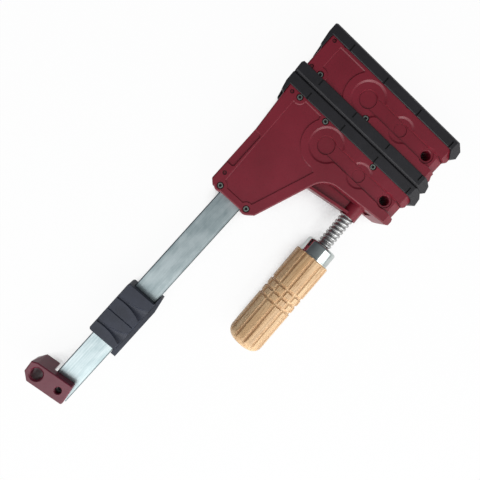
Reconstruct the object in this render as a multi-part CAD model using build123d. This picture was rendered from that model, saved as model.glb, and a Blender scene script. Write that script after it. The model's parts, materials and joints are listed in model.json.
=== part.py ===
from build123d import *
import os
from math import cos, hypot, pi, radians, sin, tan

# Screw clamp: a parallel-jaw bar clamp with two cast half shells for each jaw. Sizes are in millimetres.
# It lies on its side. X runs across the bar towards the handle, Y along the bar towards the jaws and Z
# through the thickness. While it is drawn, X = 0 and Z = 0 are the bar's middle and Y = 0 is the moving
# jaw's foot. The last section moves the whole clamp to its own origin.

# Bar
BAR_WIDTH = 25.0
BAR_THICKNESS = 8.0
BAR_BELOW_JAW = 246.5           # moving jaw's foot down to the bar's free end
BAR_CHAMFER = 0.5

# Jaws
THROAT_DEPTH = 106.0            # bar's edge to the jaws' tips
JAW_THICKNESS = 36.4
JAW_HEIGHT = 119.0              # moving jaw, foot to clamping end, without its pad
FIXED_JAW_HEIGHT = 48.2
JAW_ROUND = 1.4                 # rounding of a casting's front and rear edges
JAW_CORNER = 2.0
LUG_CORNER = 1.5
TIP_BEVEL_LENGTH = 7.3
TIP_BEVEL_DEPTH = 5.84
LINK_BEVEL_LEAD = 5.2           # the bevel starts this much further in on the link
TIP_REACH = 1.8                 # end of the casting between its lugs, beyond the throat's depth
LUG_REACH = 4.0                 # how far the lugs that hold the pads reach beyond it
LUG_SLOPE = 3.0
FIXED_LOWER_LUG = 10.7          # from the fixed jaw's foot
FIXED_UPPER_LUG = 15.5          # from its top
MOVING_LOWER_LUG = 33.8         # both from the moving jaw's clamping end
MOVING_UPPER_LUG = 15.8
MOVING_LUG_REACH = 3.8          # of the moving jaw's lower lug
MOVING_LUG_INSET = 0.9          # where the underside ends, inside the tip
MOVING_LUG_FOOT = 2.3           # that lug's foot above the underside's end
BACK_TO_BAR = 17.9              # back of the jaws behind the bar's edge, at the pads
FOOT_TO_BAR = 13.1              # back of the moving jaw behind the bar's edge, at its foot
BACK_BEND_DOWN = 57.0           # from the clamping end down to the bend in the back
BACK_BEND_ROUND = 8.0
FOOT_CORNER = 4.6
FOOT_SCREW_WALL = 2.4           # the casting bulges this far round its foot screws
BAR_FIT = 0.05                  # fixed jaw on the bar
BAR_SLIDE = 0.4                 # moving jaw's channel round the bar

# Throat side of the moving jaw
THROAT_FOOT_X = 12.8            # slanted edge's lower end, out from the bar's edge
THROAT_FOOT_Y = 4.8
THROAT_FOOT_CUT = 5.8
THROAT_TOP_X = 37.9             # corner where the slanted edge meets the arm's underside
THROAT_TOP_DOWN = 46.6
THROAT_FILLET = 22.0
UNDERSIDE_SLOPE = 5.08          # degrees

# Pads
PAD_FACE = 3.0
PAD_SKIN = 1.6
PAD_FLANGE = 8.0
OUTER_PAD_FLANGE = 7.15
PAD_WALL = 4.4
PAD_CHAMFER = 0.5
PAD_BEVEL = 1.7                 # along the corner of a pad's face and its flanges
PAD_LIP = 4.0                   # thickness of the tails that hook over the back
OUTER_PAD_TAIL = 19.0           # from the fixed jaw's top to the tail's end
OUTER_TAIL_WALL = 2.7
MOVING_PAD_TAIL = 17.5          # from the moving jaw's clamping end to the tail's end
MOVING_TAIL_WALL = 2.0
PAD_SLOT_WIDTH = 1.3
PAD_SLOT_LENGTH = 6.6
PAD_SLOT_DEPTH = 1.2
PAD_NOTCH = 1.2                 # half width of the notch where a slot meets the flange's edge
PAD_SLOT_X = -10.35
PAD_SLOT_PITCH = 40.75
PAD_SLOT_COUNT = 4
PAD_BAR_CLEARANCE = 0.8
REST_GAP = 0.3                  # between the two clamping faces

# Relief on the jaws' flat sides
DISC_X = 18.0                   # big disc's middle, out from the bar's edge
DISC_FROM_FACE = 24.8           # from the clamping end of a casting to the middle of its discs
FIXED_DISC_FROM_FACE = 23.3
DISC_RADIUS = 9.1
RING_RADIUS = 16.6
PANEL_ARC_RADIUS = 23.1
SMALL_DISC_FROM_TIP = 48.0
SMALL_DISC_RADIUS = 7.0
SMALL_BULGE_RADIUS = 12.2
LINK_HALF_WIDTH = 6.8
TIP_HOLE_FROM_TIP = 15.2
TIP_HOLE_RADIUS = 4.6
TIP_HOLE_CHAMFER = 0.5
TIP_RING_RADIUS = 8.0
RING_DEPTH = 1.0
RING_SLOPE = 1.8                # how far the wall of each recess slopes inwards
LINK_DEPTH = 1.7
LINK_SLOPE = 0.8
DISC_DEPTH = 2.3
DISC_SLOPE = 1.2
TIP_RING_DEPTH = 2.5
TIP_RING_SLOPE = 1.6
LINK_SWEEP = 5.0                # rounding where the link leaves the ring and the bulge
LINK_CORNER = 0.8
RECESS_EDGE = 0.02              # upright part left above each sloping wall
PANEL_DEPTH = 0.8
PANEL_SLOPE = 0.8
PANEL_CORNER = 1.0
FIXED_PANEL_BACK = 5.9          # panel's edge behind the bar's edge
FIXED_PANEL_FOOT = 6.0
FIXED_PANEL_TOP = 9.6
MOVING_PANEL_BACK_TOP = 5.6
MOVING_PANEL_BACK_FOOT = 3.0
MOVING_PANEL_TOP = 9.6
MOVING_PANEL_FOOT = 6.3
MOVING_PANEL_FOOT_END = 6.3
MOVING_PANEL_BORDER = 10.5      # casting left between the panel and the slanted throat edge
MOVING_PANEL_SIDE_END = 50.0    # from the clamping end down to the end of the panel's slanted side
MOVING_PANEL_STUB = 45.0        # and to the point where its end runs into the ring's border
MOVING_PANEL_STUB_BACK = 4.0    # that point behind the big disc's middle
PANEL_SCREW_BORDER = 5.9        # radius left plain round a screw
THUMB_EDGE = 5.1                # thumb recess: its edge behind the bar's edge
THUMB_FOOT = 23.7
THUMB_TOP = 61.7
THUMB_DEPTH = 1.3
THUMB_SLOPE = 1.0
THUMB_CORNER = 2.5
DIMPLE_RADIUS = 2.0
DIMPLE_DEPTH = 1.6
DIMPLE_FROM_BACK = 4.5
FIXED_DIMPLE_IN = 9.5           # from the fixed jaw's top and foot
MOVING_DIMPLE_IN = 6.6          # from the back, at the clamping end
MOVING_DIMPLE_DOWN = 11.5
MOVING_DIMPLE_UP = 15.3
MOVING_DIMPLE_FROM_BACK = 5.5   # at the moving jaw's foot

# Cap screws of the castings
SCREW_RADIUS = 1.5
SCREW_HEAD_RADIUS = 2.75
SCREW_HEAD_HEIGHT = 3.0
SCREW_HEAD_CHAMFER = 0.4
SCREW_HEAD_ROOM = 0.5           # round the head in its counterbore
SCREW_RECESS = 0.6
SCREW_LENGTH = 22.0
SCREW_CLEARANCE = 0.2
SCREW_FIT = 0.04
SOCKET_FLATS = 2.5
SOCKET_DEPTH = 1.8
SCREW_TO_BAR = 2.9              # screw's middle out from the bar's edge
THROAT_SCREW_OUT = 0.2          # further out on the moving jaw's throat side
FIXED_SCREW_UP = 9.4            # from the fixed jaw's foot
FIXED_SCREW_DOWN = 4.4          # from its top
FIXED_SCREW_PAST_DISC = 9.6
FIXED_SCREW_FAR = 30.0
MOVING_SCREW_UP = 4.3
MOVING_SCREW_DOWN = 10.5
MOVING_SCREW_FROM_TIP = 44.1

# Dowels and bearing pins
DOWEL_RADIUS = 3.0
DOWEL_HALF_LENGTH = 13.0
DOWEL_SPACING = 20.0
DOWELS_UP = 22.7                # from the fixed jaw's foot to the middle between its dowels
BAR_TOP_DOWN = 5.0              # the bar's end below the fixed jaw's top
PIN_FIT = 0.03
BEARING_PIN_RADIUS = 2.5
BEARING_PIN_HALF_LENGTH = 12.0
BEARING_GAP = 0.15              # between a bearing pin and the bar's edge
UPPER_BEARING_DOWN = 19.0
LOWER_BEARING_UP = 10.5

# Spindle and what it pushes on. The arm and the spindle lean a little against the bar.
SPINDLE_LEAN = 2.4              # degrees
SPINDLE_FROM_TIP = 27.35
SPINDLE_DOWN = 30.7             # from the clamping end down to the spindle's datum
SPINDLE_DIAMETER = 14.0
THREAD_PITCH = 4.3
THREAD_FIT = 0.08
THRUST_DISC_TOP = 2.3
THRUST_DISC_THICKNESS = 3.5
THRUST_DISC_RADIUS = 7.0
SPINDLE_HEAD_HEIGHT = 4.0
SPINDLE_HEAD_RADIUS = 6.0
SPINDLE_NECK_RADIUS = 4.4
PLATE_THICKNESS = 2.0
PLATE_HALF_LENGTH = 9.5
PLATE_HALF_WIDTH = 8.0
ROOF_THICKNESS = 2.5
TURN_GAP = 0.05
PLATE_GAP = 0.15

# Arm
FEED_HOUSING = 86.0             # what the arm and the walls take of the moving jaw's height
FEED_TRAVEL = JAW_HEIGHT - FEED_HOUSING
ARM_TOP_GAP = 0.5
BOSS_WALL = 1.5
BOSS_HEIGHT = 15.3
BEAM_HALF_WIDTH = 7.6
BEAM_WEB_HALF = 3.0
BEAM_FLANGE = 2.6
BEAM_END_HEIGHT = 14.2
BEAM_SLOPE = 6.5                # degrees
HEAD_HEIGHT = 23.7
HEAD_HALF_WIDTH = 10.2
HEAD_BACK_WALL = 5.5
HEAD_THROAT_WALL = 7.3
WINDOW_BACK_PLAY = 2.3
WINDOW_THROAT_PLAY = 0.9
WINDOW_SIDE_PLAY = 0.4
BRAKE_PIN_RADIUS = 2.0
BRAKE_PIN_STAND = 1.1
BRAKE_PIN_INSET = 3.0
BRAKE_PIN_DEPTH = 8.0
CAVITY_GAP = 0.7
CAVITY_SIDE_GAP = 0.5
SLOT_SIDE_GAP = 0.5
SLOT_PAST_BOSS = 5.5

# Handle
FERRULE_RADIUS = 15.5
FERRULE_LENGTH = 15.0
FERRULE_CROWN = 3.0
FERRULE_WALL = 1.5
FERRULE_ROUND = 2.4
FERRULE_BEAD = 0.4
HANDLE_RADIUS = 18.1
HANDLE_LENGTH = 106.0
HANDLE_ROUND = 9.5
HANDLE_CHAMFER = 0.8
HANDLE_TENON_GAP = 0.1
FLUTE_COUNT = 12
FLUTE_START = -8.2              # degrees from the front to the first flute
FLUTE_WIDTH = 3.2
FLUTE_DEPTH = 1.1
RING_GROOVE_FIRST = 37.5        # from the handle's top to its first ring groove
RING_GROOVE_PITCH = 8.55
RING_GROOVE_COUNT = 3
RING_GROOVE_WIDTH = 3.4
RING_GROOVE_DEPTH = 1.2
TANG_RADIUS = 5.0
TANG_LENGTH = 70.0
TANG_FIT = 0.05
SPINDLE_STOP_GAP = 2.0          # left between the boss and the ferrule at full feed

# Saddle
SADDLE_DOWN = 117.6             # moving jaw's foot down to the saddle
SADDLE_UPPER_LENGTH = 30.2
SADDLE_LOWER_LENGTH = 26.7
SADDLE_WALL = 5.2               # behind the bar's edge
SADDLE_HALF_THICKNESS = 12.0
SADDLE_CLEARANCE = 0.2
SADDLE_LEDGE = 1.2              # how far the clips reach past the bar's throat edge
SADDLE_EDGE = 1.6
SADDLE_EDGE_DROP = 3.6
SADDLE_CHAMFER = 0.6
SADDLE_END_ROUND = 2.6
SADDLE_CORNER = 0.9
STRIP_REACH = 5.5               # strip's face beyond the bar's throat edge
STRIP_HALF_THICKNESS = 8.0
STRIP_ABOVE = 7.1
STRIP_BELOW = 5.7
STRIP_LAP = 3.0
STRIP_TIP = 2.4
STRIP_RAMP = 13.5
UPPER_SCOOP_UP = 14.0           # from each clip's foot up to its scoop's narrow end
LOWER_SCOOP_UP = 11.8
SCOOP_START = 1.0               # inside the clip's back
SCOOP_NARROW = 1.5              # half width and depth of the scoop, at its narrow end, middle and wide end
SCOOP_NARROW_DEPTH = 1.0
SCOOP_MIDDLE = 2.6
SCOOP_MIDDLE_DEPTH = 1.9
SCOOP_MIDDLE_SHARE = 0.52
SCOOP_WIDE = 9.0
SCOOP_WIDE_DEPTH = 3.9
SCOOP_RISE = 1.6                # how much higher its wide end lies
SADDLE_SEAM = 0.05

# End stop. Its distances along X are measured from the bar's edges.
STOP_UP = 7.9                   # pin's middle above the bar's free end
STOP_TILT = 5.1                 # degrees
STOP_BACK = 23.3
STOP_THROAT_TOP = 3.1           # throat edge inside the bar's edge, at the top and the foot
STOP_THROAT_FOOT = 2.0
STOP_TOP = 11.0
STOP_FOOT = 9.8
STOP_SHOULDER = 17.5
STOP_SHOULDER_DOWN = 2.3
STOP_REAR_SHOULDER_DOWN = 7.4   # the shoulder's cut is deeper at the rear
STOP_HEEL = 16.4
STOP_HEEL_UP = 7.2
STOP_HALF_THICKNESS = 12.0
STOP_ROUND = 1.1
STOP_CORNER = 1.5
STOP_THROAT_CORNER = 2.0
STOP_SLOT_BACK = 2.5             # the block stands this far behind the bar's edge
STOP_SLOT_PLAY = 0.2
HANGING_HOLE_BACK = 12.5
HANGING_HOLE_UP = 1.0
HANGING_HOLE_RADIUS = 5.8
HANGING_HOLE_CHAMFER = 1.5
STOP_PIN_RADIUS = 3.4
STOP_PIN_BORE = 1.7
STOP_PIN_SLIT = 1.0
STOP_PIN_SINK = 4.0             # pin's end below the front plate's face
STOP_PIN_RIM = 0.7

# Worked out from the sizes above
HALF_BAR = BAR_WIDTH / 2
HALF_BAR_THICKNESS = BAR_THICKNESS / 2
HALF_JAW = JAW_THICKNESS / 2
TIP_X = HALF_BAR + THROAT_DEPTH
NOTCH_X = TIP_X + TIP_REACH
LUG_X = TIP_X + LUG_REACH
BACK_X = -HALF_BAR - BACK_TO_BAR
PAD_Z = HALF_JAW + PAD_SKIN
MOVING_FACE = JAW_HEIGHT + PAD_FACE
FIXED_FACE = MOVING_FACE + REST_GAP
FIXED_FOOT = FIXED_FACE + PAD_FACE
FIXED_TOP = FIXED_FOOT + FIXED_JAW_HEIGHT
BAR_TOP = FIXED_TOP - BAR_TOP_DOWN
BAR_FOOT = -BAR_BELOW_JAW
FIXED_DISC_Y = FIXED_FOOT + FIXED_DISC_FROM_FACE
MOVING_DISC_Y = JAW_HEIGHT - DISC_FROM_FACE
SCREW_X = HALF_BAR + SCREW_TO_BAR
DISC_MIDDLE_X = HALF_BAR + DISC_X
TIP_HOLE_X = TIP_X - TIP_HOLE_FROM_TIP
SPINDLE_X = TIP_X - SPINDLE_FROM_TIP
SPINDLE_Y = JAW_HEIGHT - SPINDLE_DOWN
BEYOND = 40.0                   # how far a cutting solid runs past what it cuts


# Plain solids

def prism(points, low, high, radius=0):
    """Block between two heights from a closed outline, with its corners rounded."""
    if radius:
        outline = FilletPolyline(*points, radius=radius, close=True)
    else:
        outline = Polyline(*points, close=True)
    return extrude(Pos(0, 0, low) * make_face(outline), high - low, dir=(0, 0, 1))


def block(x_range, y_range, z_range):
    """Box between pairs of limits."""
    ranges = (x_range, y_range, z_range)
    middle = [(low + high) / 2 for low, high in ranges]
    size = [high - low for low, high in ranges]
    return Pos(*middle) * Box(*size)


def round_bar(x, y, radius, low, high):
    """Cylinder along Z between two heights."""
    return Pos(x, y, (low + high) / 2) * Cylinder(radius, high - low)


def spindle_bar(radius, low, high):
    """Cylinder along the spindle, in the spindle's own frame."""
    return Pos(0, (low + high) / 2, 0) * Rot(90, 0, 0) * Cylinder(radius, high - low)


def turned(profile):
    """Solid turned about the spindle's axis from (radius, height) points."""
    return revolve(make_face(Polyline(*profile, close=True)), Axis.Y)


def both_sides(shape):
    """A cut in the front face and its mirror image in the rear face."""
    return shape + mirror(shape, about=Plane.XY)


def halves(body):
    """Front and rear shells of a casting, parted at the bar's middle plane."""
    front = split(body, Plane.XY, keep=Keep.TOP)
    rear = split(body, Plane.XY, keep=Keep.BOTTOM)
    return front, rear


def outline_edges(body):
    """Edges of a plate's front and rear outlines."""
    levels = body.edges().group_by(Axis.Z)
    return levels[0] + levels[-1]


def countersink(x, y, radius, depth, top):
    """Conical cut that widens a hole towards a face at the given height."""
    cone = Cone(radius, radius + depth, depth, align=(Align.CENTER, Align.CENTER, Align.MAX))
    return Pos(x, y, top) * cone


# The spindle's frame: its datum is on the spindle's axis, v runs up the axis and u away from the bar

def leaned(shape):
    """Shape drawn in the spindle's frame, put in its place."""
    return Pos(SPINDLE_X, SPINDLE_Y, 0) * Rot(0, 0, SPINDLE_LEAN) * shape


def bar_middle(v):
    """u of the bar's middle line at height v of the spindle's frame."""
    lean = radians(SPINDLE_LEAN)
    return (v * sin(lean) - SPINDLE_X) / cos(lean)


HEAD_SEAT = THRUST_DISC_TOP - THRUST_DISC_THICKNESS - TURN_GAP
HEAD_BASE = HEAD_SEAT - SPINDLE_HEAD_HEIGHT
PLATE_TOP = HEAD_BASE - PLATE_GAP
PLATE_BASE = PLATE_TOP - PLATE_THICKNESS
ROOF = PLATE_BASE - ROOF_THICKNESS
ARM_TOP = ROOF - ARM_TOP_GAP
BOSS_BASE = ARM_TOP - BOSS_HEIGHT
HEAD_FLOOR = ARM_TOP - HEAD_HEIGHT
BOSS_RADIUS = SPINDLE_DIAMETER / 2 + BOSS_WALL
ARM_MIDDLE_U = bar_middle((ARM_TOP + HEAD_FLOOR) / 2)
WINDOW_BACK_U = ARM_MIDDLE_U - HALF_BAR - WINDOW_BACK_PLAY
WINDOW_THROAT_U = ARM_MIDDLE_U + HALF_BAR + WINDOW_THROAT_PLAY
HEAD_BACK_U = WINDOW_BACK_U - HEAD_BACK_WALL
HEAD_THROAT_U = WINDOW_THROAT_U + HEAD_THROAT_WALL
CAVITY_FLOOR = HEAD_FLOOR - FEED_TRAVEL - CAVITY_GAP
FERRULE_TOP = BOSS_BASE - FEED_TRAVEL - SPINDLE_STOP_GAP
FERRULE_BASE = FERRULE_TOP - FERRULE_LENGTH


# Bar

def make_bar():
    bar = block((-HALF_BAR, HALF_BAR), (BAR_FOOT, BAR_TOP), (-HALF_BAR_THICKNESS, HALF_BAR_THICKNESS))
    bar = chamfer(bar.edges().filter_by(Axis.Y), BAR_CHAMFER)
    for y in dowel_heights():
        bar -= round_bar(0, y, DOWEL_RADIUS + PIN_FIT, -BAR_THICKNESS, BAR_THICKNESS)
    return bar - round_bar(0, BAR_FOOT + STOP_UP, STOP_PIN_RADIUS + PIN_FIT, -BAR_THICKNESS, BAR_THICKNESS)


def bar_channel(clearance, low, high):
    """Room for the bar, with a clearance on all four sides."""
    half_width = HALF_BAR + clearance
    half_thickness = HALF_BAR_THICKNESS + clearance
    return block((-half_width, half_width), (low, high), (-half_thickness, half_thickness))


# Fasteners and pins

def cap_screw(x, y):
    """Socket cap screw along Z, its head sunk in the front face."""
    head_top = HALF_JAW - SCREW_RECESS
    head_base = head_top - SCREW_HEAD_HEIGHT
    head = round_bar(x, y, SCREW_HEAD_RADIUS, head_base, head_top)
    head = chamfer(head.edges().group_by(Axis.Z)[-1], SCREW_HEAD_CHAMFER)
    shank = round_bar(x, y, SCREW_RADIUS, head_base - SCREW_LENGTH, head_base)
    hexagon = Pos(x, y, head_top) * RegularPolygon(SOCKET_FLATS / 2, 6, major_radius=False)
    return head + shank - extrude(hexagon, SOCKET_DEPTH, dir=(0, 0, -1))


def screw_hole(x, y):
    """Counterbore and clearance hole in the front shell, threaded hole in the rear one."""
    head_base = HALF_JAW - SCREW_RECESS - SCREW_HEAD_HEIGHT
    counterbore = round_bar(x, y, SCREW_HEAD_RADIUS + SCREW_HEAD_ROOM, head_base, HALF_JAW + BEYOND)
    clearance = round_bar(x, y, SCREW_RADIUS + SCREW_CLEARANCE, 0, head_base)
    thread = round_bar(x, y, SCREW_RADIUS + SCREW_FIT, head_base - SCREW_LENGTH - 1, 0)
    return counterbore + clearance + thread


def dowel_heights():
    middle = FIXED_FOOT + DOWELS_UP
    return [middle - DOWEL_SPACING / 2, middle + DOWEL_SPACING / 2]


def dowels(clearance=0.0):
    """Pins that hold the fixed jaw on the bar."""
    reach = DOWEL_HALF_LENGTH + clearance
    return [round_bar(0, y, DOWEL_RADIUS + clearance, -reach, reach) for y in dowel_heights()]


def bearing_pin_places():
    offset = HALF_BAR + BEARING_GAP + BEARING_PIN_RADIUS
    return [(offset, JAW_HEIGHT - UPPER_BEARING_DOWN), (-offset, LOWER_BEARING_UP)]


def bearing_pins(clearance=0.0):
    """Pins that the moving jaw runs on: one on the throat edge above, one on the back edge below."""
    reach = BEARING_PIN_HALF_LENGTH + clearance
    return [round_bar(x, y, BEARING_PIN_RADIUS + clearance, -reach, reach) for x, y in bearing_pin_places()]


# Relief on the flat sides of the jaws

def recess(outline, depth, slope):
    """Cutter for a recess in the front face: its walls slope inwards from the outline down to its floor."""
    cutter = extrude(Pos(0, 0, HALF_JAW - depth) * outline, depth + BEYOND, dir=(0, 0, 1))
    floor = cutter.faces().sort_by(Axis.Z)[0]
    return chamfer(floor.edges(), slope, depth - RECESS_EDGE, reference=floor)


def disc(x, y, radius):
    return Pos(x, y) * Circle(radius)


def swept_outline(disc_y):
    """Outline of the ring, the bulge and the link. It sweeps out of both on the side away from the pad."""
    small_x = TIP_X - SMALL_DISC_FROM_TIP
    outline = disc(DISC_MIDDLE_X, disc_y, RING_RADIUS) + disc(small_x, disc_y, SMALL_BULGE_RADIUS)
    outline += link_strip(disc_y)
    joints = [vertex for vertex in outline.vertices() if vertex.X < TIP_X]
    swept = [vertex for vertex in joints if vertex.Y < disc_y and not 0 < small_x - vertex.X < SMALL_BULGE_RADIUS]
    plain = [Vector(vertex) for vertex in joints if vertex not in swept]
    outline = fillet(swept, LINK_SWEEP)
    corners = [vertex for vertex in outline.vertices() if min((Vector(vertex) - point).length for point in plain) < 0.01]
    return fillet(corners, LINK_CORNER)


def link_strip(disc_y):
    """Strip from the big disc's middle out through the tip."""
    length = LUG_X + BEYOND - DISC_MIDDLE_X
    return Pos(DISC_MIDDLE_X + length / 2, disc_y) * Rectangle(length, 2 * LINK_HALF_WIDTH)


def link_relief(disc_y):
    """Big and small discs joined by a link that runs out through the tip, and the tip hole's ring."""
    small_x = TIP_X - SMALL_DISC_FROM_TIP
    bevel_start = LUG_X - TIP_BEVEL_LENGTH - LINK_BEVEL_LEAD
    bevel = tip_wedge(bevel_start, HALF_JAW, disc_y - LINK_HALF_WIDTH, disc_y + LINK_HALF_WIDTH)
    return (recess(swept_outline(disc_y), RING_DEPTH, RING_SLOPE) + bevel
            + recess(link_strip(disc_y), LINK_DEPTH, LINK_SLOPE)
            + recess(disc(DISC_MIDDLE_X, disc_y, DISC_RADIUS), DISC_DEPTH, DISC_SLOPE)
            + recess(disc(small_x, disc_y, SMALL_DISC_RADIUS), DISC_DEPTH, DISC_SLOPE)
            + recess(disc(TIP_HOLE_X, disc_y, TIP_RING_RADIUS), TIP_RING_DEPTH, TIP_RING_SLOPE))


def panel_recess(points, disc_y, screws):
    """Plain recessed panel, kept clear of the big disc's ring and of the screws."""
    outline = make_face(Polyline(*points, close=True)) - disc(DISC_MIDDLE_X, disc_y, PANEL_ARC_RADIUS)
    for x, y in screws:
        outline -= disc(x, y, PANEL_SCREW_BORDER)
    outline = fillet(outline.vertices(), PANEL_CORNER)
    return recess(outline, PANEL_DEPTH, PANEL_SLOPE)


def dimples(places):
    holes = [round_bar(x, y, DIMPLE_RADIUS, HALF_JAW - DIMPLE_DEPTH, HALF_JAW + BEYOND) for x, y in places]
    return holes[0] + holes[1:]


def tip_wedge(start, face, low, high):
    """Slanted cut of the front face, deeper and deeper from a start towards the tip."""
    slope = TIP_BEVEL_DEPTH / TIP_BEVEL_LENGTH
    section = make_face(Polyline((start, face), (start + face / slope, 0), (start + BEYOND, 0),
                                 (start + BEYOND, face + BEYOND), (start, face + BEYOND), close=True))
    return extrude(Plane.XZ.offset(-low) * section, high - low, dir=(0, 1, 0))


def tip_bevels(skin=0.0):
    """Slanted cuts that thin the jaw's end towards its tip, or a pad of a given skin on it."""
    slope = TIP_BEVEL_DEPTH / TIP_BEVEL_LENGTH
    start = LUG_X - TIP_BEVEL_LENGTH + skin * (hypot(1, slope) - 1) / slope
    return both_sides(tip_wedge(start, HALF_JAW + skin, 0, FIXED_TOP + BEYOND))


# Fixed jaw

def fixed_jaw_outline():
    """Outline points and the rounding of each corner."""
    lower_lug = FIXED_FOOT + FIXED_LOWER_LUG
    upper_lug = FIXED_TOP - FIXED_UPPER_LUG
    return [((BACK_X, FIXED_FOOT), JAW_CORNER),
            ((LUG_X, FIXED_FOOT), JAW_CORNER),
            ((LUG_X, lower_lug), LUG_CORNER),
            ((NOTCH_X, lower_lug + LUG_SLOPE), LUG_CORNER),
            ((NOTCH_X, upper_lug - LUG_SLOPE), LUG_CORNER),
            ((LUG_X, upper_lug), LUG_CORNER),
            ((LUG_X, FIXED_TOP), JAW_CORNER),
            ((BACK_X, FIXED_TOP), JAW_CORNER)]


def fixed_screw_places():
    lower = FIXED_FOOT + FIXED_SCREW_UP
    upper = FIXED_TOP - FIXED_SCREW_DOWN
    return [(-SCREW_X, lower), (DISC_MIDDLE_X + FIXED_SCREW_PAST_DISC, lower), (-SCREW_X, upper),
            (DISC_MIDDLE_X + FIXED_SCREW_FAR, upper)]


def fixed_panel():
    left = -HALF_BAR - FIXED_PANEL_BACK
    foot = FIXED_FOOT + FIXED_PANEL_FOOT
    top = FIXED_TOP - FIXED_PANEL_TOP
    points = [(left, foot), (DISC_MIDDLE_X, foot), (DISC_MIDDLE_X, top), (left, top)]
    return panel_recess(points, FIXED_DISC_Y, fixed_screw_places()[:1])


def casting(outline):
    """Solid casting with its corners rounded, before anything is cut."""
    points = [point for point, radius in outline]
    radii = [radius for point, radius in outline]
    return prism(points, -HALF_JAW, HALF_JAW, radii)


def tip_hole(disc_y):
    """Through hole near the tip, with a small chamfer at the floor of its ring."""
    floor = HALF_JAW - TIP_RING_DEPTH
    return (round_bar(TIP_HOLE_X, disc_y, TIP_HOLE_RADIUS, -BEYOND, BEYOND)
            + both_sides(countersink(TIP_HOLE_X, disc_y, TIP_HOLE_RADIUS, TIP_HOLE_CHAMFER, floor)))


def make_fixed_jaw():
    body = casting(fixed_jaw_outline())
    body = fillet(outline_edges(body), JAW_ROUND)
    body -= tip_bevels()
    body -= bar_channel(BAR_FIT, FIXED_FOOT - 1, BAR_TOP)
    body -= dowels(PIN_FIT)
    dimple_x = BACK_X + DIMPLE_FROM_BACK
    body -= both_sides(link_relief(FIXED_DISC_Y) + fixed_panel()
                       + dimples([(dimple_x, FIXED_TOP - FIXED_DIMPLE_IN), (dimple_x, FIXED_FOOT + FIXED_DIMPLE_IN)]))
    body -= tip_hole(FIXED_DISC_Y)
    for x, y in fixed_screw_places():
        body -= screw_hole(x, y)
    return halves(body)


# Moving jaw

def throat_edge(y):
    """X of the moving jaw's slanted throat edge at a height."""
    top_y = JAW_HEIGHT - THROAT_TOP_DOWN
    share = (y - THROAT_FOOT_Y) / (top_y - THROAT_FOOT_Y)
    return HALF_BAR + THROAT_FOOT_X + share * (THROAT_TOP_X - THROAT_FOOT_X)


def moving_jaw_outline():
    """Outline points and the rounding of each corner."""
    foot_back = -HALF_BAR - FOOT_TO_BAR
    corner = (HALF_BAR + THROAT_TOP_X, JAW_HEIGHT - THROAT_TOP_DOWN)
    lug_start = TIP_X - MOVING_LUG_INSET
    lug_end = TIP_X + MOVING_LUG_REACH
    underside_end = corner[1] + (lug_start - corner[0]) * tan(radians(UNDERSIDE_SLOPE))
    lower_lug = JAW_HEIGHT - MOVING_LOWER_LUG
    upper_lug = JAW_HEIGHT - MOVING_UPPER_LUG
    return [((BACK_X, JAW_HEIGHT), JAW_CORNER),
            ((foot_back, JAW_HEIGHT - BACK_BEND_DOWN), BACK_BEND_ROUND),
            ((foot_back, FOOT_CORNER), JAW_CORNER),
            ((foot_back + FOOT_CORNER, 0), JAW_CORNER),
            ((HALF_BAR + THROAT_FOOT_X - THROAT_FOOT_CUT, 0), JAW_CORNER),
            ((HALF_BAR + THROAT_FOOT_X, THROAT_FOOT_Y), JAW_CORNER),
            (corner, THROAT_FILLET),
            ((lug_start, underside_end), LUG_CORNER),
            ((lug_end, underside_end + MOVING_LUG_FOOT), LUG_CORNER),
            ((lug_end, lower_lug), LUG_CORNER),
            ((NOTCH_X, lower_lug + LUG_SLOPE), LUG_CORNER),
            ((NOTCH_X, upper_lug - LUG_SLOPE), LUG_CORNER),
            ((LUG_X, upper_lug), LUG_CORNER),
            ((LUG_X, JAW_HEIGHT), JAW_CORNER)]


def moving_screw_places():
    """Foot screws first, because the casting bulges round them."""
    upper = JAW_HEIGHT - MOVING_SCREW_DOWN
    throat_x = SCREW_X + THROAT_SCREW_OUT
    return [(-SCREW_X, MOVING_SCREW_UP), (throat_x, MOVING_SCREW_UP), (-SCREW_X, upper), (throat_x, upper),
            (TIP_X - MOVING_SCREW_FROM_TIP, upper)]


def moving_panel():
    """Panel that follows the casting's outline."""
    back_top = -HALF_BAR - MOVING_PANEL_BACK_TOP
    back_foot = -HALF_BAR - MOVING_PANEL_BACK_FOOT
    top = JAW_HEIGHT - MOVING_PANEL_TOP
    side_end = JAW_HEIGHT - MOVING_PANEL_SIDE_END
    stub = JAW_HEIGHT - MOVING_PANEL_STUB
    side_foot_x = throat_edge(MOVING_PANEL_FOOT_END) - MOVING_PANEL_BORDER
    side_end_x = throat_edge(side_end) - MOVING_PANEL_BORDER
    points = [(back_foot, MOVING_PANEL_FOOT), (side_foot_x, MOVING_PANEL_FOOT_END), (side_end_x, side_end),
              (DISC_MIDDLE_X - MOVING_PANEL_STUB_BACK, stub), (DISC_MIDDLE_X, top), (back_top, top)]
    return panel_recess(points, MOVING_DISC_Y, moving_screw_places())


def thumb_recess():
    """Grip pocket on the back edge."""
    right = -HALF_BAR - THUMB_EDGE
    points = [(right - BEYOND, THUMB_FOOT), (right, THUMB_FOOT), (right, THUMB_TOP), (right - BEYOND, THUMB_TOP)]
    outline = make_face(FilletPolyline(*points, radius=THUMB_CORNER, close=True))
    return recess(outline, THUMB_DEPTH, THUMB_SLOPE)


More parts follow.
